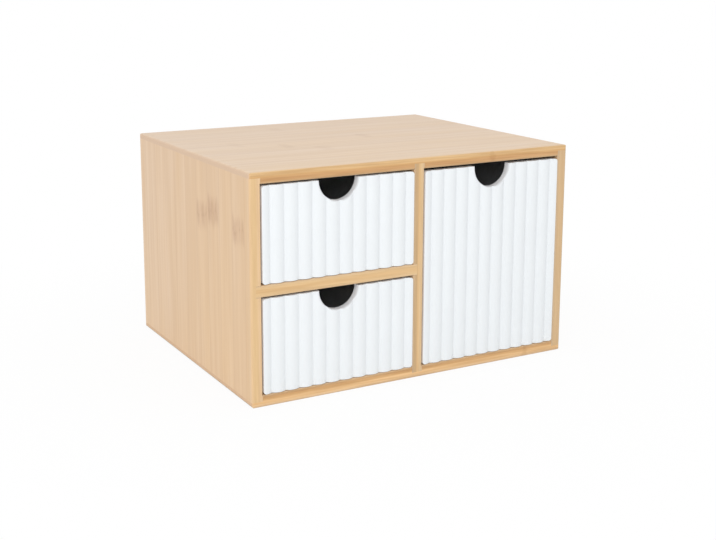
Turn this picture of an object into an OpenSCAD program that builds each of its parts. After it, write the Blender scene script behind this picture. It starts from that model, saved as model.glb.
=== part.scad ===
// Desktop mini drawers: a bamboo case, open at the front, with two small drawers one above
// the other on the left and one tall drawer on the right. The white drawer fronts are reeded
// and have a half-round thumb notch instead of a knob.
//
// The origin is the middle of the case's underside. X runs across the front, the front faces
// -Y and Z points up. All sizes are in millimetres.

/* [Case] */
// Width of the case
case_w = 260; // [200:1:360]
// Depth of the case, front to back
case_d = 210; // [140:1:300]
// Height of the case
case_h = 160; // [140:1:240]
// Thickness of the top, bottom, sides, divider and shelf
panel_t = 8; // [6:0.5:12]
// Thickness of the back panel
back_t = 5; // [3:0.5:8]
// Height of the lower left opening
lower_bay_h = 68; // [50:1:80]
// How far the divider stands right of the middle
divider_x = 0; // [-30:1:30]
// Radius of the two upper outer edges that run front to back
edge_r = 2; // [1:0.5:4]
// Radius of the two lower outer edges that run front to back
foot_r = 2.5; // [1:0.5:6]
// Radius of the eased outer edges at the front and the rear
arris_r = 1.6; // [0.4:0.1:2.4]
// Radius of the eased front edges round the three openings
opening_r = 1; // [0.4:0.1:2]

/* [Case joints] */
// Depth of the rabbets and dados that hold the panels
housing_d = 4; // [2:0.5:5]
// Depth of the dado in the divider that holds the shelf
divider_dado_d = 3; // [2:0.5:4]
// How far the back panel laps into the rabbets behind the case
back_lap = 4; // [2:0.5:5]
// Clearance beside a board in its rabbet, dado or groove
fit_gap = 0.1; // [0.05:0.05:0.3]

/* [Drawer fronts] */
// Thickness of a drawer front over its ribs
front_t = 6; // [4:0.5:10]
// How far the ribs lie behind the front edges of the case
front_recess = 0; // [0:0.5:6]
// Gap beside a drawer front in the middle of its opening
front_gap = 0.6; // [0.5:0.1:2]
// How far each closed drawer stands right of the middle of its opening
front_shift = 0.4; // [0:0.1:0.4]
// Gap above each small drawer front
small_head_gap = 1.4; // [0.6:0.1:4]
// Gap above the tall drawer front
tall_head_gap = 2.1; // [0.6:0.1:4]
// Radius of the corners of a drawer front
front_corner_r = 2; // [0.4:0.2:3]

/* [Ribs] */
// Distance from one rib to the next
rib_pitch = 10.45; // [6:0.05:20]
// Height of a rib above the grooves
rib_h = 1.6; // [0.8:0.1:2.4]
// Width of the flat groove between two ribs
rib_groove_w = 0.6; // [0.3:0.1:2]
// Width of the cut rib at the left end of a front
rib_start = 6.4; // [1:0.1:8]

/* [Thumb notch] */
// Radius of the notch
notch_r = 15; // [8:0.5:20]
// Radius of the notch's eased front edge
notch_edge_r = 2; // [0.5:0.25:3]
// How far each notch stands left of the middle of its front
notch_shift = 0.9; // [0:0.1:3]
// Depth of the notch's centre below the top edge of a small front
small_notch_drop = 0; // [0:0.5:6]
// Depth of the notch's centre below the top edge of the tall front
tall_notch_drop = 1; // [0:0.5:6]

/* [Drawer boxes] */
// Thickness of the side and back walls
wall_t = 4; // [3:0.5:8]
// How far the walls stop below the top of the front
wall_drop = 4; // [0:0.5:12]
// How far each side wall is set in from the end of the front
wall_inset = 0.3; // [0:0.1:2]
// Thickness of the drawer floor
floor_t = 3; // [2:0.5:5]
// Height of the floor above the lower edge of the walls
floor_up = 3; // [2:0.5:8]
// Depth of the grooves that hold the floor and the back wall
groove_d = 1.5; // [1:0.25:2]
// Clearance under a drawer
seat_gap = 0.5; // [0.2:0.1:1]
// Clearance between a closed drawer and the back panel
rear_gap = 0.5; // [0.3:0.1:4]

/* [Hidden] */
$fn = 96;

bamboo = [0.87, 0.74, 0.57];
bamboo_edge = [0.84, 0.68, 0.48];
white_paint = [0.96, 0.97, 0.97];
white_inside = [0.90, 0.91, 0.91];

// Cutters run this far past the faces that they cut
over = 1;

// The case's outer faces and the inner faces of its openings
side_x = case_w / 2;
side_in = side_x - panel_t;
front_y = -case_d / 2;
rear_y = case_d / 2;
back_in = rear_y - back_t;
ceiling = case_h - panel_t;
shelf_under = panel_t + lower_bay_h;
shelf_top = shelf_under + panel_t;
divider_left = divider_x - panel_t / 2;
divider_right = divider_x + panel_t / 2;

// The upright panels stand in housings in the bottom and the top
upright_z = [panel_t - housing_d, ceiling + housing_d];

// A rib is the part of a circle that stands rib_h above its chord
rib_chord = rib_pitch - rib_groove_w;
rib_r = (rib_chord * rib_chord / 4 + rib_h * rib_h) / (2 * rib_h);

// Front and rear of every closed drawer
rib_y = front_y + front_recess;
box_y = rib_y + front_t;
box_rear = back_in - rear_gap;

// A drawer front's left end, right end, lower edge and top edge in its opening
function front_span(left, right, under, head, head_gap) =
  [left + front_gap + front_shift, right - front_gap + front_shift, under + seat_gap, head - head_gap];

upper = front_span(-side_in, divider_left, shelf_top, ceiling, small_head_gap);
lower = front_span(-side_in, divider_left, panel_t, shelf_under, small_head_gap);
tall = front_span(divider_right, side_in, panel_t, ceiling, tall_head_gap);

// The outer faces of a drawer's side walls, the top of its walls and the underside of its floor
function box_left(span) = span[0] + wall_inset;
function box_right(span) = span[1] - wall_inset;
function wall_top(span) = span[3] - wall_drop;
function floor_z(span) = span[2] + floor_up;

// A block given by where it starts and ends along each axis
module block(x, y, z) {
  translate([x[0], y[0], z[0]]) cube([x[1] - x[0], y[1] - y[0], z[1] - z[0]]);
}

module rounded_rectangle(w, h, r) {
  translate([r, 0]) square([w - 2 * r, h]);
  translate([0, r]) square([w, h - 2 * r]);
  for (x = [r, w - r], y = [r, h - r])
    translate([x, y]) circle(r);
}

// The case seen from in front: the lower corners are rounder than the upper ones
module case_outline() {
  intersection() {
    rounded_rectangle(case_w, case_h + 2 * foot_r, foot_r);
    translate([0, -2 * edge_r]) rounded_rectangle(case_w, case_h + 2 * edge_r, edge_r);
  }
}

// The outside of the glued-up case, sanded round along its long edges and eased at its ends
module case_outside() {
  intersection() {
    translate([-side_x, rear_y, 0]) rotate([90, 0, 0])
      linear_extrude(case_d) case_outline();
    translate([-side_x, front_y, 0]) rotate([90, 0, 90])
      linear_extrude(case_w) rounded_rectangle(case_d, case_h, arris_r);
    translate([-side_x, front_y, 0])
      linear_extrude(case_h) rounded_rectangle(case_w, case_d, arris_r);
  }
}

// What rounds one front edge of an opening. The edge runs along X from 0, with the opening above
// it, and both ends are mitred to meet the next edge.
module edge_rounding(length) {
  intersection() {
    translate([-opening_r - over, 0, 0]) rotate([90, 0, 90])
      linear_extrude(length + 2 * (opening_r + over)) difference() {
        translate([-over, -opening_r]) square(opening_r + over);
        translate([opening_r, -opening_r]) circle(opening_r);
      }
    translate([0, opening_r + over, 0]) rotate([90, 0, 0])
      linear_extrude(opening_r + 2 * over)
        polygon([[over, over], [length - over, over],
                 [length + opening_r, -opening_r], [-opening_r, -opening_r]]);
  }
}

// The roundings along the four front edges of an opening, given by its ends along X and Z
module opening_rounding(x, z) {
  w = x[1] - x[0];
  h = z[1] - z[0];
  translate([x[0], front_y, z[0]]) edge_rounding(w);
  translate([x[1], front_y, z[0]]) rotate([0, -90, 0]) edge_rounding(h);
  translate([x[1], front_y, z[1]]) rotate([0, 180, 0]) edge_rounding(w);
  translate([x[0], front_y, z[1]]) rotate([0, 90, 0]) edge_rounding(h);
}

module upper_rounding() { opening_rounding([-side_in, divider_left], [shelf_top, ceiling]); }
module lower_rounding() { opening_rounding([-side_in, divider_left], [panel_t, shelf_under]); }
module tall_rounding() { opening_rounding([divider_right, side_in], [panel_t, ceiling]); }

// The rabbet behind the case that the back panel is let into, or the panel's own outline
module back_outline(y, gap) {
  reach = back_lap - gap;
  block([-side_in - reach, side_in + reach], y, [panel_t - reach, ceiling + reach]);
}

// What the top and the bottom lose to the sides, the divider and the back panel
module upright_housings() {
  for (s = [-1, 1])
    scale([s, 1, 1])
      block([side_in - fit_gap, side_x + over], [front_y - over, rear_y + over], upright_z);
  block([divider_left - fit_gap, divider_right + fit_gap], [front_y - over, rear_y + over], upright_z);
  back_outline([back_in, rear_y + over], 0);
}

module top_panel() {
  color(bamboo) difference() {
    intersection() {
      case_outside();
      block([-side_x - over, side_x + over], [front_y - over, rear_y + over], [ceiling, case_h + over]);
    }
    upright_housings();
    upper_rounding();
    tall_rounding();
  }
}

module bottom_panel() {
  color(bamboo) difference() {
    intersection() {
      case_outside();
      block([-side_x - over, side_x + over], [front_y - over, rear_y + over], [-over, panel_t]);
    }
    upright_housings();
    lower_rounding();
    tall_rounding();
  }
}

// One side of the case: its ends are lapped by the top and the bottom
module side_panel(x) {
  difference() {
    intersection() {
      case_outside();
      block(x, [front_y - over, rear_y + over], upright_z);
    }
    back_outline([back_in, rear_y + over], 0);
  }
}

// The dado that one end of the shelf is let into, from one X to another
module shelf_dado(x) {
  block(x, [front_y - over, rear_y + over], [shelf_under - fit_gap, shelf_top + fit_gap]);
}

module left_side() {
  color(bamboo) difference() {
    side_panel([-side_x - over, -side_in]);
    shelf_dado([-side_in - housing_d, -side_in + over]);
    upper_rounding();
    lower_rounding();
  }
}

module right_side() {
  color(bamboo) difference() {
    side_panel([side_in, side_x + over]);
    tall_rounding();
  }
}

module divider() {
  color(bamboo_edge) difference() {
    block([divider_left, divider_right], [front_y, back_in], upright_z);
    shelf_dado([divider_left - over, divider_left + divider_dado_d]);
    upper_rounding();
    lower_rounding();
    tall_rounding();
  }
}

module shelf() {
  color(bamboo_edge) difference() {
    block([-side_in - housing_d, divider_left + divider_dado_d], [front_y, back_in],
          [shelf_under, shelf_top]);
    upper_rounding();
    lower_rounding();
  }
}

module back_panel() {
  color(bamboo_edge) back_outline([back_in, rear_y], fit_gap);
}

// Plan of a reeded board: flat behind, convex ribs with narrow flat grooves in front
module reeded_plan(w) {
  intersection() {
    translate([0, -over]) square([w, front_t + over]);
    union() {
      translate([0, rib_h]) square([w, front_t]);
      for (x = [rib_start - rib_pitch / 2 : rib_pitch : w + rib_pitch / 2])
        translate([x, rib_r]) circle(rib_r);
    }
  }
}

// The groove for the drawer's floor, from one X to another and from one Y to another
module floor_groove(span, x, y) {
  block(x, y, [floor_z(span), floor_z(span) + floor_t + fit_gap]);
}

// Half-round notch with short straight sides, open at the top edge. Its front edge is rounded for
// the thumb, which takes away the most where a rib stands out.
module thumb_notch(span, drop) {
  translate([(span[0] + span[1]) / 2 - notch_shift, rib_y, span[3] - drop]) rotate([-90, 0, 0]) {
    translate([0, 0, -over]) linear_extrude(front_t + 2 * over) {
      circle(notch_r);
      translate([-notch_r, -drop - over]) square([2 * notch_r, drop + over]);
    }
    rotate_extrude() difference() {
      translate([notch_r - over, -over]) square(notch_edge_r + over);
      translate([notch_r + notch_edge_r, notch_edge_r]) circle(notch_edge_r);
    }
  }
}

module drawer_front(span, drop) {
  w = span[1] - span[0];
  h = span[3] - span[2];
  color(white_paint) difference() {
    intersection() {
      translate([span[0], rib_y, span[2]]) linear_extrude(h) reeded_plan(w);
      translate([span[0], box_y + over, span[2]]) rotate([90, 0, 0])
        linear_extrude(front_t + 2 * over) rounded_rectangle(w, h, front_corner_r);
    }
    thumb_notch(span, drop);
    floor_groove(span, [box_left(span) + wall_t - groove_d, box_right(span) - wall_t + groove_d],
                 [box_y - groove_d, box_y + over]);
  }
}

// A side wall between two X values. Its inner face has a groove for the floor and, behind,
// a rabbet for the back wall; inner_x says where that face's cuts start and end.
module side_wall(span, x, inner_x) {
  color(white_inside) difference() {
    block(x, [box_y, box_rear], [span[2], wall_top(span)]);
    floor_groove(span, inner_x, [box_y - over, box_rear + over]);
    block(inner_x, [box_rear - wall_t - fit_gap, box_rear + over],
          [floor_z(span) + floor_t, wall_top(span) + over]);
  }
}

module left_wall(span) {
  x = box_left(span);
  side_wall(span, [x, x + wall_t], [x + wall_t - groove_d, x + wall_t + over]);
}

module right_wall(span) {
  x = box_right(span);
  side_wall(span, [x - wall_t, x], [x - wall_t - over, x - wall_t + groove_d]);
}

// The back wall stands on the floor and ends in the rabbets of the side walls
module back_wall(span) {
  color(white_inside)
    block([box_left(span) + wall_t - groove_d, box_right(span) - wall_t + groove_d],
          [box_rear - wall_t, box_rear], [floor_z(span) + floor_t, wall_top(span)]);
}

// The floor slides into the grooves from behind
module drawer_floor(span) {
  reach = groove_d - fit_gap;
  color(white_inside)
    block([box_left(span) + wall_t - reach, box_right(span) - wall_t + reach],
          [box_y - reach, box_rear], [floor_z(span), floor_z(span) + floor_t]);
}

top_panel();
bottom_panel();
left_side();
right_side();
divider();
shelf();
back_panel();

drawer_front(upper, small_notch_drop);  // upper_drawer_front
left_wall(upper);  // upper_drawer_left_wall
right_wall(upper);  // upper_drawer_right_wall
back_wall(upper);  // upper_drawer_back_wall
drawer_floor(upper);  // upper_drawer_floor

drawer_front(lower, small_notch_drop);  // lower_drawer_front
left_wall(lower);  // lower_drawer_left_wall
right_wall(lower);  // lower_drawer_right_wall
back_wall(lower);  // lower_drawer_back_wall
drawer_floor(lower);  // lower_drawer_floor

drawer_front(tall, tall_notch_drop);  // tall_drawer_front
left_wall(tall);  // tall_drawer_left_wall
right_wall(tall);  // tall_drawer_right_wall
back_wall(tall);  // tall_drawer_back_wall
drawer_floor(tall);  // tall_drawer_floor
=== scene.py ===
# %% [markdown]
# # Desktop mini drawers
# A small bamboo case stands on a white floor. Two small drawers lie one above the other on the
# left and one tall drawer is on the right. The drawer fronts are white, with upright convex ribs
# and a half-round thumb notch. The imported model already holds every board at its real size, so
# this lesson is about finishes: laminated bamboo that looks right on faces, edges and ends, and
# satin white paint on ribs.

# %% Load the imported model
import math
from collections import namedtuple

import bmesh
import bpy
from mathutils import Matrix, Vector


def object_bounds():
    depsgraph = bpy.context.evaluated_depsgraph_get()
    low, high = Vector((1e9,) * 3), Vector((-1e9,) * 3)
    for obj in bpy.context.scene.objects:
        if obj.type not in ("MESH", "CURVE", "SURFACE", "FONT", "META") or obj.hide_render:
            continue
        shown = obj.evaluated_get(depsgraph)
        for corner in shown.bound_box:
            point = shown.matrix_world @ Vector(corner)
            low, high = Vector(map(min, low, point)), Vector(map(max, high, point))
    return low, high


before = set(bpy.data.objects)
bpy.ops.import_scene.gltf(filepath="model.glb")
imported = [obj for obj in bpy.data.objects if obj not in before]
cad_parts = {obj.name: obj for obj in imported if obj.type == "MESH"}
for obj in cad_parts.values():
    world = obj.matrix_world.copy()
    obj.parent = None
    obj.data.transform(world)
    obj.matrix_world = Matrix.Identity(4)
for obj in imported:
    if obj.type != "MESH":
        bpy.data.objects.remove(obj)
cad_low, cad_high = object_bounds()
case_middle = (cad_low + cad_high) / 2
MM = 0.001              # metres
print("case, mm:", [round(size / MM, 1) for size in cad_high - cad_low])

# %% [markdown]
# ## The camera
# The photograph was taken from the front left, a little above the case, with a long lens. A
# camera could be moved by hand until the picture looks alike, but here its place was worked out:
# six outer corners of the case and the ends of its openings give where it stood and the length
# of its lens. The picture's centre of perspective lies above the middle of the frame, so the
# frame is shifted down.

# %% Place the camera
CAMERA_AT = Vector((-434.3, -782.2, 289.6)) * MM
CAMERA_TURN = 29.16     # degrees to the right of straight at the front
CAMERA_DROP = 10.84     # degrees below the horizon
CAMERA_ROLL = 0.11      # degrees
SENSOR_W = 36.0         # mm
LENS = 58.87            # mm
FRAME_SHIFT = (0.0128, -0.1093)     # to the right and up, in widths of the picture
NEAREST = 10 * MM       # what is nearer than this isn't drawn

camera = bpy.data.objects.new("camera", bpy.data.cameras.new("camera"))
bpy.context.scene.collection.objects.link(camera)
bpy.context.scene.camera = camera
camera.data.sensor_width = SENSOR_W
camera.data.lens = LENS
camera.data.shift_x, camera.data.shift_y = FRAME_SHIFT
camera.data.clip_start = NEAREST
camera.location = CAMERA_AT
turn = Matrix.Rotation(math.radians(-CAMERA_TURN), 4, "Z")
tilt = Matrix.Rotation(math.radians(90 - CAMERA_DROP), 4, "X")
roll = Matrix.Rotation(math.radians(CAMERA_ROLL), 4, "Z")
camera.rotation_euler = (turn @ tilt @ roll).to_euler()
print("camera, mm from the case:", round((CAMERA_AT - case_middle).length / MM))

# %% [markdown]
# ## Sums on shader sockets
# A finish is worked out from the place of each point on the board. The nodes for that could be
# added and linked one by one, but dozens of such lines hide the idea. Plain sums are easier to
# read, so a small class wraps a socket and turns Python's operators into Math nodes.

# %% Wrap a socket
class Value:
    """What a node gives out: a number, a colour or a shader. Sums are for numbers alone."""

    def __init__(self, nodes, socket):
        self.nodes, self.socket = nodes, socket

    def sum_of(self, operation, *values):
        """A Math node on one number or two."""
        settings = {"operation": operation}
        return self.nodes.node("ShaderNodeMath", settings, dict(enumerate(values)))

    def __add__(self, other):
        return self.sum_of("ADD", self, other)

    def __sub__(self, other):
        return self.sum_of("SUBTRACT", self, other)

    def __rsub__(self, other):
        return self.sum_of("SUBTRACT", other, self)

    def __mul__(self, other):
        return self.sum_of("MULTIPLY", self, other)

    def __truediv__(self, other):
        return self.sum_of("DIVIDE", self, other)

    def __rtruediv__(self, other):
        return self.sum_of("DIVIDE", other, self)

    def __abs__(self):
        return self.sum_of("ABSOLUTE", self)

    def __floor__(self):
        return self.sum_of("FLOOR", self)

    __radd__ = __add__
    __rmul__ = __mul__

    def fade(self, start, end):
        """0 at start and before, 1 at end and after, with a soft change between them."""
        return self.nodes.node(
            "ShaderNodeMapRange", {"interpolation_type": "SMOOTHSTEP"},
            {"Value": self, "From Min": start, "From Max": end})

    def stretched(self):
        """Noise, which keeps near its middle, drawn out to 0 and 1."""
        return self.fade(0.3, 0.7)


print("sums on sockets: + - * / abs floor")

# %% [markdown]
# ## Nodes and finishes
# Every node comes from one method, which takes its type, its settings and its inputs, so that no
# line of this lesson links sockets by hand. Colours are changed by Mix nodes only, because a
# Math node would turn them grey.

# %% Add nodes to a tree
class Nodes:
    """The nodes of a material or of the world."""

    def __init__(self, tree):
        self.tree = tree

    def feed(self, node, values):
        """Sets a node's inputs, or links them where another node gives the value."""
        for key, value in values.items():
            if isinstance(value, Value):
                self.tree.links.new(value.socket, node.inputs[key])
            else:
                node.inputs[key].default_value = value

    def set_stops(self, elements, stops):
        """Gives a ramp its (place, colour) stops."""
        for place, colour in stops[1:-1]:
            elements.new(place).color = colour
        elements[0].position, elements[0].color = stops[0]
        elements[-1].position, elements[-1].color = stops[-1]

    def node(self, kind, settings, values, out=0):
        """Adds a node and returns one of its outputs."""
        made = self.tree.nodes.new(kind)
        for key, value in settings.items():
            if key == "stops":
                self.set_stops(made.color_ramp.elements, value)
            else:
                setattr(made, key, value)
        self.feed(made, values)
        return Value(self, made.outputs[out])

    def backdrop_rays(self):
        """1 for a ray that shows the backdrop: to the camera, in a reflection or through glass."""
        kinds = ("Is Camera Ray", "Is Glossy Ray", "Is Transmission Ray")
        return sum(self.node("ShaderNodeLightPath", {}, {}, kind) for kind in kinds)


print("nodes come with: type, settings, inputs")

# %% Start a finish
RELIEF = {"Strength": 0.05, "Distance": 0.3 * MM}


class Finish(Nodes):
    """A material, with its shader and the nodes that feed it."""

    def __init__(self, name, fixed):
        self.material = bpy.data.materials.new(name)
        self.material.use_nodes = True
        super().__init__(self.material.node_tree)
        self.shader = self.tree.nodes["Principled BSDF"]
        self.feed(self.shader, fixed)

    def axes(self, output="Object"):
        """The three parts of a coordinate, each a number."""
        vector = self.node("ShaderNodeTexCoord", {}, {}, output)
        return [self.node("ShaderNodeSeparateXYZ", {}, {"Vector": vector}, part)
                for part in range(3)]

    def place(self):
        """X, Y and Z in mm, in the model's own frame."""
        return [axis / MM for axis in self.axes()]

    def chance(self, value, salt=0.0):
        """A number from 0 to 1 that is the same wherever value is. salt gives another one."""
        settings = {"noise_dimensions": "1D"}
        return self.node("ShaderNodeTexWhiteNoise", settings, {"W": value + salt})

    def cloud(self, x, y, z, detail=2.0):
        """Soft noise from 0 to 1 at a point."""
        at = self.node("ShaderNodeCombineXYZ", {}, {"X": x, "Y": y, "Z": z})
        values = {"Vector": at, "Scale": 1.0, "Detail": detail}
        return self.node("ShaderNodeTexNoise", {}, values)

    def mix(self, factor, first, second, blend="MIX"):
        """A colour between two colours."""
        settings = {"data_type": "RGBA", "blend_type": blend}
        return self.node("ShaderNodeMix", settings, {0: factor, 6: first, 7: second}, 2)

    def shaded(self, colour, shade, pale, deep):
        """A colour times another one, which goes from pale to deep as shade goes from 0 to 1."""
        return self.mix(1.0, colour, self.mix(shade, pale, deep), "MULTIPLY")

    def relief(self, height):
        """Makes the light show a slight unevenness, which the mesh doesn't have."""
        bump = self.node("ShaderNodeBump", {}, {"Height": height, **RELIEF})
        self.feed(self.shader, {"Normal": bump})


def linear(*srgb):
    """A colour as a shader wants it, from its 0 to 255 values on screen, by the sRGB curve."""
    parts = [value / 255 for value in srgb]
    return (*[p / 12.92 if p <= 0.04045 else ((p + 0.055) / 1.055) ** 2.4 for p in parts], 1.0)


print("mid grey on screen, to a shader:", round(linear(128)[0], 3))

# %% [markdown]
# ## Strips of bamboo
# Each board is glued up from two plies, and each ply from flat strips of split cane. The strips
# hardly differ in tone, and a thin darker glue line parts them. A picture of wood could be wrapped
# round each board, but it would have to be bent at every edge. So the grain is worked out in
# space instead: then an edge shows the sides of the same fibres that the face shows. First comes
# which strip a point is in.

# %% Number the strips
STRIP_W = 21.0          # width of a strip, mm
PLY_T = 4.0             # thickness of a ply, mm
PLY_SOFT = 0.15         # how far one ply blends into the next, mm
PLY_STAGGER = 0.41      # how far the second ply's strips stand aside, in strips
SECOND_PLY = 53         # added to the numbers of its strips, so that they look different
GLUE_REACH = 1.2        # how far a glue line darkens a strip, mm

# A point's place on its board, mm: along the fibres, across them and through the thickness
Place = namedtuple("Place", "along side depth")


def strips(at, board):
    """The number of the strip at a point, and how near its glue lines are, from 0 to 1."""
    second = (at.depth - board.low).fade(PLY_T - PLY_SOFT, PLY_T + PLY_SOFT)
    turn = (at.side - board.phase) / STRIP_W + second * PLY_STAGGER
    number = math.floor(turn)
    glue = abs(turn - number - 0.5).fade(0.5 - GLUE_REACH / STRIP_W, 0.5)
    return number + second * SECOND_PLY + board.seed, glue


print("glue lines every", STRIP_W, "mm, in plies of", PLY_T, "mm")

# %% [markdown]
# ## Fibres on a face
# The fibres show as streaks, fine ones over wider and softer ones, which are long and narrow
# because the fibres are. Real streaks could be drawn one by one. Noise that is drawn out along
# the fibres gives the same look from a few numbers, and each strip reads it at a place of its
# own. Fibres make the wood paler or deeper, and deeper wood loses more blue than red. Tone and
# hue also drift a little over a board. On the left side that drift is painted light: paler
# towards the bottom and the rear, and cooler towards the top and the rear.

# %% Streak a face
# Streaks: waves per mm along the fibres, across and through them, how far apart two strips read
# the noise, its detail, and how much it weighs in the shade
Streaks = namedtuple("Streaks", "waves apart detail weight")
FINE = Streaks((0.018, 1.3, 1.3), 3.7, 3.0, 0.6)
WIDE = Streaks((0.011, 0.32, 0.32), 2.9, 1.0, 2.2)
SOFT = Streaks((0.005, 0.12, 0.12), 5.3, 1.0, 1.8)
STRIP_WEIGHT = 0.15     # how much a strip as a whole differs in shade
STRIP_HUE = 0.2         # and in hue
HUE_WAVES = (0.008, 0.05, 0.05)     # per mm, as in the streaks

# What shade and hue multiply a colour by
PALE, DEEP = (1.03, 1.046, 1.078, 1.0), (0.958, 0.93, 0.883, 1.0)
COOL, WARM = (0.985, 0.995, 1.06, 1.0), (1.02, 0.99, 0.90, 1.0)


def waves(f, at, per_mm, detail=2.0, side_shift=0.0, depth_shift=0.0):
    """Noise drawn out along the fibres, with so many waves per mm along, across and through."""
    along, side, depth = (axis * count for axis, count in zip(at, per_mm))
    return f.cloud(along, side + side_shift, depth + depth_shift, detail)


def streaks(f, at, strip, kind):
    """Streaks of one kind, which differ from strip to strip."""
    return waves(f, at, kind.waves, kind.detail, strip * kind.apart)


def drift(at, per_mm):
    """How far a board has changed at a point, from its change per mm along and across."""
    return at.along * per_mm[0] + at.side * per_mm[1]


def face_tone(f, at, board, strip, fine):
    """The colour of a face before its glue lines."""
    shade = (f.chance(strip) - 0.5) * STRIP_WEIGHT + (fine - 0.5) * FINE.weight
    for kind in (WIDE, SOFT):
        shade = shade + (streaks(f, at, strip, kind) - 0.5) * kind.weight
    # The drift along and across a board is partly painted light.
    shade = shade * board.figure + drift(at, board.deeper) + 0.5
    hue = waves(f, at, HUE_WAVES, side_shift=4) - 0.5
    hue = hue + (f.chance(strip, 7.0) - 0.5) * STRIP_HUE + drift(at, board.warmer) + 0.5
    return f.shaded(f.shaded(board.face, shade, PALE, DEEP), hue, COOL, WARM)


print("fine streaks, mm wide:", round(1 / FINE.waves[1], 1))

# %% [markdown]
# ## A joint of the cane
# At a joint the fibres swell, cross over and darken. The patch fills its strip from glue line to
# glue line, its top and bottom are frayed because each fibre bends at its own height, and one
# thin darker line runs across it, where the cane's inner wall was. A dark spot painted by hand
# would look stuck on. Here the patch is made of the streaks themselves, deepened inside a band.

# %% Darken a joint
# A joint: its middle across and along, half its height, all in mm, and its strength
Knot = namedtuple("Knot", "side along half strength")
FULL_HALF = 11.0        # half the height of a full joint, mm
FRAY = 14.0             # how much higher one fibre bends than another in it, mm
PATCH, PATCH_LINES = 0.3, 0.6       # how dark the patch is by itself, and where it has streaks
WALL = 0.35             # how dark the inner wall's line is
WALL_SOFT, WALL_HALF = 1.9, 0.4     # mm from its middle: where it ends and where it is full
WALL_SLOPE = 0.18       # how much it climbs across the strip


def knot(at, spot, lines, frayed):
    """How dark one joint makes a point, from 0 to 1."""
    aside = at.side - spot.side
    rise = at.along - spot.along + frayed * (spot.half / FULL_HALF)
    in_strip = abs(aside).fade(STRIP_W * 0.5, STRIP_W * 0.42)   # up to the glue lines
    band = abs(rise).fade(spot.half * 1.2, spot.half * 0.4)
    wall = abs(rise + aside * WALL_SLOPE).fade(WALL_SOFT, WALL_HALF) * WALL
    dark = band * (PATCH + lines * PATCH_LINES) + wall * lines
    return in_strip * dark * spot.strength


def all_knots(f, at, board):
    """How dark the joints on a board's face make a point."""
    lines = waves(f, at, (0.06, 0.45, 0.45), 3.0).fade(0.3, 0.65)
    frayed = (waves(f, at, (0.02, 0.35, 0.35)) - 0.5) * FRAY
    return sum(knot(at, spot, lines, frayed) for spot in board.knots)


print("a full joint, mm:", STRIP_W, "x", 2 * FULL_HALF)

# %% [markdown]
# ## Sawn edges
# A sawn edge cuts each strip from its dense outer side to its pale core, so its tone changes
# through the thickness of the board, in bands as long as the board. One plain darker tone would
# do from afar. From near, a colour ramp over the thickness gives the bands, and streaks along
# the fibres break them up. The greyest bands, where an edge meets a drawer's gap or turns away
# from the light, also hold painted shade. The tones are named once, and each board's edge picks
# from them.

# %% Name the tones of a sawn edge
CREAM = linear(224, 190, 148)
STRAW = linear(220, 186, 138)
GOLD = linear(219, 181, 130)
AMBER = linear(231, 190, 138)
HONEY = linear(212, 168, 112)
CORE = linear(203, 157, 106)
# Partly a greyer tone of the cane, partly painted shade where an edge meets a drawer's gap
DUSK_AND_SHADE = linear(198, 165, 122)
TAN = linear(209, 177, 135)
# Partly a greyer tone of the cane, partly painted shade where an edge meets a gap or turns away
# from the light
HUSK_AND_SHADE = linear(196, 171, 140)
RIND = linear(214, 185, 147)

# Each board's edge: how many mm above its lower, left or front face each tone lies
TOP_EDGE = ((0, DUSK_AND_SHADE), (2, CORE), (3.4, CORE), (4.6, HONEY), (5.6, GOLD), (7, GOLD), (8, STRAW))
BOTTOM_EDGE = ((0, TAN), (1.5, CREAM), (3, AMBER), (4.4, AMBER), (5.4, HONEY), (6.5, CORE),
               (8, DUSK_AND_SHADE))
SHELF_EDGE = ((0, RIND), (1.5, STRAW), (4.5, GOLD), (6.5, STRAW), (8, RIND))
LEFT_EDGE = ((0, CREAM), (2, STRAW), (4.5, STRAW), (6, CREAM), (8, CREAM))
DIVIDER_EDGE = ((0, HUSK_AND_SHADE), (1.5, DUSK_AND_SHADE), (2.7, DUSK_AND_SHADE), (3.9, GOLD), (5, STRAW), (8, RIND))
RIGHT_EDGE = ((0, HUSK_AND_SHADE), (2, TAN), (6.4, TAN), (8, HUSK_AND_SHADE))
print("bands on the top panel's edge:", len(TOP_EDGE))

# %% Colour a sawn edge
EDGE_PALE, EDGE_DEEP = (1.06, 1.075, 1.09, 1.0), (0.83, 0.78, 0.71, 1.0)
EDGE_SHADE = 0.3        # the shade of an edge without streaks
EDGE_LINES, EDGE_SLOW = 0.65, 0.35  # how much its fine and its slow streaks weigh
EDGE_SLANT = 0.012      # how much its fine streaks lean, because no fibre is quite straight
EDGE_FRAY = 8.0         # how uneven a joint is where an edge cuts it, mm
CUT_SOFT, CUT_HALF = 3.2, 0.6       # mm from its middle: where it ends and where it is full


def edge_tone(f, at, board):
    """The colour of a sawn edge: its bands, its streaks and the joints that it cuts."""
    lines = waves(f, at, (0.03, 0.9, 0.9), 4.0, depth_shift=at.along * EDGE_SLANT)
    slow = waves(f, at, (0.011, 0.2, 0.25), depth_shift=9)
    shade = lines.stretched() * EDGE_LINES + slow.stretched() * EDGE_SLOW - EDGE_SHADE
    shade = shade * board.edge_figure + EDGE_SHADE
    for along in board.edge_knots:
        frayed = (f.cloud(at.along * 0.1, 3.0, at.depth * 0.6) - 0.5) * EDGE_FRAY
        shade = shade + abs(at.along - along + frayed).fade(CUT_SOFT, CUT_HALF) * 0.5
    reach = board.edge[-1][0]
    stops = [(height / reach, tone) for height, tone in board.edge]
    height = (at.depth - board.low) / reach
    bands = f.node("ShaderNodeValToRGB", {"stops": stops}, {0: height})
    return f.shaded(bands, shade, EDGE_PALE, EDGE_DEEP)


print("an edge's shade without streaks:", EDGE_SHADE)
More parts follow.
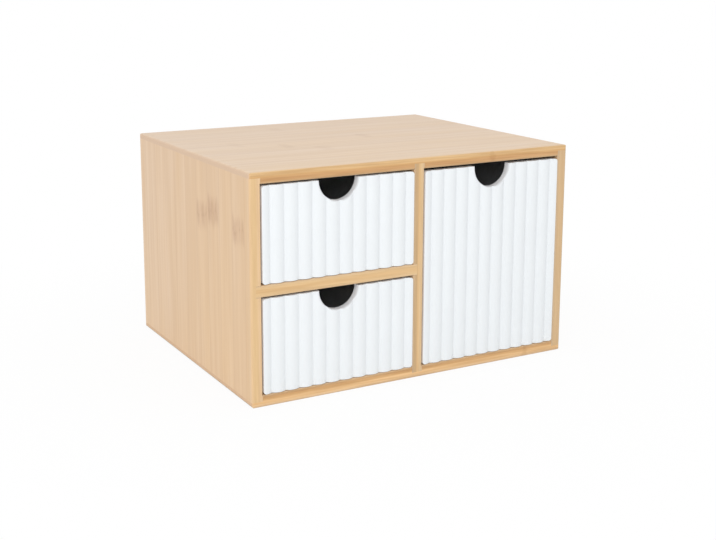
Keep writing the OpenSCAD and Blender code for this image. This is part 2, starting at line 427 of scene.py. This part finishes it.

# %% [markdown]
# ## One finish for each board
# The ends of a board show the pores of the cut fibres, and the faces that look down are made
# darker, which is painted shade. One material could serve the whole case, but the grain runs
# upwards in the sides and across in the top, and each board has its own edge and its own joints.
# So one function makes a finish from a board's own settings. It picks face, edge or end by the
# way a surface looks, which needs no seams and follows the rounded corners.

# %% Finish a board
# A board: its material's name, the axes that its fibres run along and across, where its
# thickness starts, the colours of its face and edge, and a number that sets its streaks apart.
# Then where its strips start, how strong its streaks are, its joints, and how its shade and
# its hue drift per mm, along and across, which is partly painted light.
Board = namedtuple(
    "Board", "name grain across low face edge seed phase figure edge_figure knots edge_knots "
    "deeper warmer", defaults=(0.0, 1.0, 1.0, (), (), (0.0, 0.0), (0.0, 0.0)))
END_PALE, END_DEEP = (0.95, 0.89, 0.85, 1.0), (0.84, 0.76, 0.70, 1.0)
CLEAN = (1.0, 1.0, 1.0, 1.0)
GLUE = (0.95, 0.93, 0.91, 1.0)
JOINT = (0.80, 0.725, 0.70, 1.0)
# Painted shade: how much darker the faces that look down are made
DOWNWARD_SHADE = (0.55, 0.53, 0.49, 1.0)
LACQUER, LACQUER_CHANGE = 0.4, 0.12     # roughness, and how much the fibres change it


def bamboo(board):
    """The bamboo finish of one board."""
    f = Finish(board.name, {})
    place, normal = f.place(), f.axes("Normal")
    at = Place(place[board.grain], place[board.across], place[3 - board.grain - board.across])
    strip, glue = strips(at, board)
    fine = streaks(f, at, strip, FINE)
    face = f.shaded(face_tone(f, at, board, strip, fine), glue, CLEAN, GLUE)
    if board.knots:
        face = f.shaded(face, all_knots(f, at, board), CLEAN, JOINT)
    pores = waves(f, at, (0.4, 2.2, 2.2)).stretched()
    end = f.shaded(board.face, pores, END_PALE, END_DEEP)

    # The roundings blend one into the next. 1 is square on, and 0 is seen from the side.
    to_edge = abs(normal[board.across]).fade(0.25, 0.85)
    to_end = abs(normal[board.grain]).fade(0.45, 0.95)
    # Faces that look down, such as the lower roundings, are darkened: this is painted shade.
    downward_shade = (0 - normal[2]).fade(0.1, 0.8) * abs(normal[1]).fade(0.3, 0.05)
    colour = f.mix(to_end, f.mix(to_edge, face, edge_tone(f, at, board)), end)
    colour = f.shaded(colour, downward_shade, CLEAN, DOWNWARD_SHADE)
    f.feed(f.shader, {"Base Color": colour, "Roughness": LACQUER + fine * LACQUER_CHANGE})
    f.relief(fine)
    return f.material


def dress(node, material):
    """Gives one board of the model its finish."""
    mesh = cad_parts[node].data
    mesh.materials.clear()
    mesh.materials.append(material)


print("a board is described by", len(Board._fields), "settings")

# %% Finish the case
X, Y, Z = range(3)
# The top's face is paler and greyer than the sides': partly its own tone, partly painted sheen.
TOP_FACE_AND_SHEEN = linear(224, 199, 172)
SIDE_FACE = linear(224, 193, 156)
TOP_KNOTS = (Knot(9, 20, 5, 0.4), Knot(-12, -58, 5, 0.35), Knot(9, -89, 5, 0.3),
             Knot(-33, -37, 6, 0.3), Knot(72, -26, 6, 0.25))
LEFT_KNOTS = (Knot(-86.5, 118, 10, 0.8), Knot(-44.5, 123, 11, 1), Knot(-23.5, 118, 11, 0.8))
RIGHT_KNOTS = (Knot(-65.5, 46, 11, 0.7), Knot(18.5, 103, 9, 0.6), Knot(60.5, 41, 11, 0.6))
BACK_KNOTS = (Knot(32, -74, 11, 0.7), Knot(116, 38, 9, 0.6), Knot(74, 96, 11, 0.6))

CASE_BOARDS = {
    "top_panel": Board(
        "bamboo_top", X, Y, 152, TOP_FACE_AND_SHEEN, TOP_EDGE, seed=10, phase=-1.5, figure=0.7,
        edge_figure=1.2, knots=TOP_KNOTS, edge_knots=(62,), deeper=(0.0, 0.0012),
        warmer=(0.0, -0.0022)),
    "bottom_panel": Board(
        "bamboo_bottom", X, Y, 0, SIDE_FACE, BOTTOM_EDGE, seed=13, phase=4, edge_figure=1.2,
        edge_knots=(96,)),
    # Its drift is painted light: paler towards the bottom and the rear, cooler towards the top and
    # the rear.
    "left_side": Board(
        "bamboo_left", Z, Y, -130, SIDE_FACE, LEFT_EDGE, seed=11, phase=-97, edge_figure=0.5,
        knots=LEFT_KNOTS, deeper=(0.0018, -0.0024), warmer=(-0.0025, -0.0015)),
    "right_side": Board(
        "bamboo_right", Z, Y, 122, SIDE_FACE, RIGHT_EDGE, seed=12, phase=-76, edge_figure=0.6,
        knots=RIGHT_KNOTS),
    "divider": Board(
        "bamboo_divider", Z, Y, -4, SIDE_FACE, DIVIDER_EDGE, seed=14, phase=7, edge_figure=0.6),
    "shelf": Board(
        "bamboo_shelf", X, Y, 76, SIDE_FACE, SHELF_EDGE, seed=12, phase=3, edge_figure=0.7),
    "back_panel": Board(
        "bamboo_back", X, Z, 100, SIDE_FACE, SHELF_EDGE, seed=11, phase=0.5, edge_figure=0.7,
        knots=BACK_KNOTS),
}
for node, board in CASE_BOARDS.items():
    dress(node, bamboo(board))
print("boards in bamboo:", len(CASE_BOARDS))

# %% [markdown]
# ## White paint
# The fronts are reeded boards under satin white paint, very slightly cool, and the boxes behind
# them are plain boards under duller paint. The ribs show by their shading alone, so one colour
# would nearly do, but a surface without any change looks like plastic. A faint mottle and a
# slight unevenness, as a paint roller leaves them, are enough. The narrow faces inside the notch
# and round a front are given a paler colour, which is painted light. They lie in shade, and the
# photograph still shows them nearly as bright as the ribs.

# %% Paint the drawers
MOTTLE = 0.97           # the darkest of the mottle, as a share of the colour
MOTTLE_WAVES = 0.05     # waves per mm
ROLLER_WAVES = 1.5      # waves per mm


def white_paint(name, colour, painted_light_colour, roughness):
    """White paint, with a second colour for faces that look neither to the front nor to the rear:
    painted light on faces that lie in shade.
    """
    f = Finish(name, {"Roughness": roughness})
    place = f.place()
    mottle = f.cloud(*[axis * MOTTLE_WAVES for axis in place])
    flat = f.mix(mottle, colour, [MOTTLE * part for part in colour[:3]] + [1])
    # Faces seen from the side get the second colour: painted light where they lie in shade.
    to_edge = abs(f.axes("Normal")[1]).fade(0.5, 0.1)
    f.feed(f.shader, {"Base Color": f.mix(to_edge, flat, painted_light_colour)})
    f.relief(f.cloud(*[axis * ROLLER_WAVES for axis in place]))
    return f.material


# The second white is painted light: a paler colour for the shaded faces in the notch and round a
# front.
FRONT_WHITE, PAINTED_LIGHT_WHITE = (0.80, 0.83, 0.85, 1), (0.93, 0.94, 0.97, 1)
BOX_WHITE = (0.83, 0.855, 0.89, 1)
SATIN, DULL = 0.38, 0.55            # roughness
FRONT_PAINT = white_paint("white_front", FRONT_WHITE, PAINTED_LIGHT_WHITE, SATIN)
BOX_PAINT = white_paint("white_box", BOX_WHITE, BOX_WHITE, DULL)
drawer_boards = [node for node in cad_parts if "drawer" in node]
for node in drawer_boards:
    dress(node, FRONT_PAINT if node.endswith("front") else BOX_PAINT)
print("boards in white paint:", len(drawer_boards))

# %% [markdown]
# ## The floor
# The photograph's background is pure white, with hardly a shadow. More light would whiten a grey
# floor, but it would bleach the case as well. So the camera sees a floor that is mostly plain
# white by itself, with a little of its real surface, which holds the soft shadow. Further out
# the plain white takes over, so that no edge shows. All other light meets the real surface,
# which throws it up at the case.

# %% Lay the floor
FLOOR_HALF = 6.0        # metres
FLOOR_WHITE = (0.92, 0.92, 0.92, 1)
PLAIN_NEAR = 0.92       # share of plain white near the case
PLAIN_FROM, PLAIN_TO = 0.15, 0.4    # metres from the middle, between which it rises to 1


def floor_finish():
    """A white that the camera can't tell from the backdrop far away from the case."""
    f = Finish("pale_floor", {"Base Color": FLOOR_WHITE, "Roughness": 0.9})
    x, y, _ = f.axes()
    flat = f.node("ShaderNodeCombineXYZ", {}, {"X": x, "Y": y})
    far = f.node("ShaderNodeVectorMath", {"operation": "LENGTH"}, {0: flat}, "Value")
    share = PLAIN_NEAR + far.fade(PLAIN_FROM, PLAIN_TO) * (1 - PLAIN_NEAR)
    real = Value(f, f.shader.outputs[0])
    plain = f.node("ShaderNodeEmission", {}, {"Strength": 1.0})
    seen = f.node("ShaderNodeMixShader", {}, {0: share * f.backdrop_rays(), 1: real, 2: plain})
    f.feed(f.tree.nodes["Material Output"], {"Surface": seen})
    return f.material


floor_mesh = bpy.data.meshes.new("floor")
bm = bmesh.new()
bmesh.ops.create_grid(bm, x_segments=1, y_segments=1, size=FLOOR_HALF)
bm.to_mesh(floor_mesh)
bm.free()
floor = bpy.data.objects.new("floor", floor_mesh)
floor_mesh.materials.append(floor_finish())
bpy.context.scene.collection.objects.link(floor)
print("floor, m:", 2 * FLOOR_HALF)

# %% [markdown]
# ## The light
# The case was lit softly from all round, with a little more light from the front left, which
# shades the ribs. Several lamps could stand round it, but an evenly bright world does the same
# without hard shadows. The camera sees that world as pure white. One large lamp gives the rest.

# %% Light the room
SKY = 0.85              # brightness of the world on the object
LAMP_AT = Vector((-0.9, -1.3, 0.9))
LAMP_SIZE = 0.9         # metres
LAMP_WATTS = 9

world = bpy.data.worlds.new("studio")
bpy.context.scene.world = world
world.use_nodes = True
room = Nodes(world.node_tree)
WHITE = (1, 1, 1, 1)
background = room.tree.nodes["Background"]
room.feed(background, {"Color": WHITE, "Strength": SKY})
lit = Value(room, background.outputs[0])
plain = room.node("ShaderNodeBackground", {}, {"Color": WHITE, "Strength": 1.0})
seen = room.node("ShaderNodeMixShader", {}, {0: room.backdrop_rays(), 1: lit, 2: plain})
room.feed(room.tree.nodes["World Output"], {"Surface": seen})

light = bpy.data.lights.new("key_lamp", "AREA")
light.size, light.energy = LAMP_SIZE, LAMP_WATTS
lamp = bpy.data.objects.new("key_lamp", light)
lamp.location = LAMP_AT
lamp.rotation_euler = (case_middle - LAMP_AT).to_track_quat("-Z", "Y").to_euler()
bpy.context.scene.collection.objects.link(lamp)
bpy.context.scene.view_settings.view_transform = "Standard"
print("lamp, m from the case:", round((LAMP_AT - case_middle).length, 2), "and sky", SKY)
